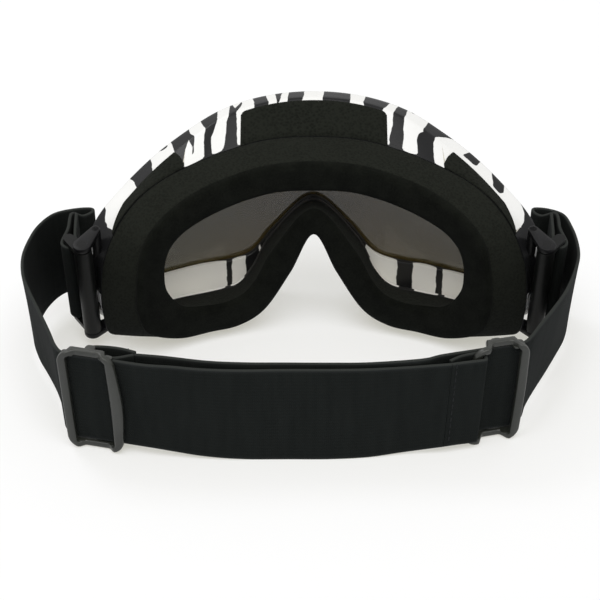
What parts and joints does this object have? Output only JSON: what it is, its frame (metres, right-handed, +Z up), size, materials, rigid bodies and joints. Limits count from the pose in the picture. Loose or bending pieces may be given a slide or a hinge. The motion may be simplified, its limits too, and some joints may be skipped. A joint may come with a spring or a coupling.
{
  "type": "goggles",
  "caption": "Wrap-round goggles standing on a table: one tinted curved lens, vented striped frame, face foam, swivelling hooks and an elastic head strap with two sliders.",
  "frame": {"origin": "on the table, under the middle of the bounding box at rest", "axes": "+Y forwards out of the lens, +Z up, +X to the wearer's right"},
  "size_m": [0.2088, 0.1254, 0.087],
  "materials": {
    "frame": "gloss, printed with black stripes",
    "lens": "polished, smoke tint",
    "vent_foam": "open-cell foam",
    "face_foam": "open-cell foam",
    "fleece": "fleece",
    "pin": "moulded",
    "hook": "moulded",
    "webbing": "woven elastic",
    "slider": "moulded, satin"
  },
  "bodies": {
    "goggle": {"frame_shell": "frame", "lens": "lens", "top_vent_foam": "vent_foam", "side_vent_foam_left": "vent_foam", "side_vent_foam_right": "vent_foam", "bottom_vent_foam_left": "vent_foam", "bottom_vent_foam_right": "vent_foam", "face_foam": "face_foam", "face_fleece": "fleece", "hook_pin_left": "pin", "hook_pin_right": "pin", "strap_front_left": "webbing", "strap_front_right": "webbing", "strap_side_left": "webbing", "strap_side_right": "webbing"},
    "left_hook": {"hook_left": "hook"},
    "right_hook": {"hook_right": "hook"},
    "rear_strap": {"strap_rear_outer": "webbing", "strap_rear_inner": "webbing"},
    "left_slider": {"slider_left": "slider", "strap_fold_left": "webbing"},
    "right_slider": {"slider_right": "slider", "strap_fold_right": "webbing"}
  },
  "joints": [
    {"name": "left_hook_swing", "type": "hinge", "parent": "goggle", "child": "left_hook", "pos_m": [-0.081, 0.00405, 0.0483], "axis": [0, -0.2419, 0.9703], "range_deg": [-4, 35], "stiffness_Nm_per_rad": 0.02, "deforming": ["strap_front_left"]},
    {"name": "right_hook_swing", "type": "hinge", "parent": "goggle", "child": "right_hook", "pos_m": [0.09, 0.00405, 0.0483], "axis": [0, -0.2419, 0.9703], "range_deg": [-35, 4], "stiffness_Nm_per_rad": 0.02, "deforming": ["strap_front_right"]},
    {"name": "strap_stretch", "type": "slide", "parent": "goggle", "child": "rear_strap", "axis": [0, -1, 0], "range_m": [0, 0.04], "stiffness_N_per_m": 200, "deforming": ["strap_side_left", "strap_side_right"]},
    {"name": "left_slider_slide", "type": "slide", "parent": "rear_strap", "child": "left_slider", "axis": [0.9659, -0.2588, 0], "range_m": [0, 0.008], "deforming": ["strap_rear_inner"]},
    {"name": "right_slider_slide", "type": "slide", "parent": "rear_strap", "child": "right_slider", "axis": [-0.9613, -0.2756, 0], "range_m": [0, 0.008], "deforming": ["strap_rear_outer"]}
  ]
}
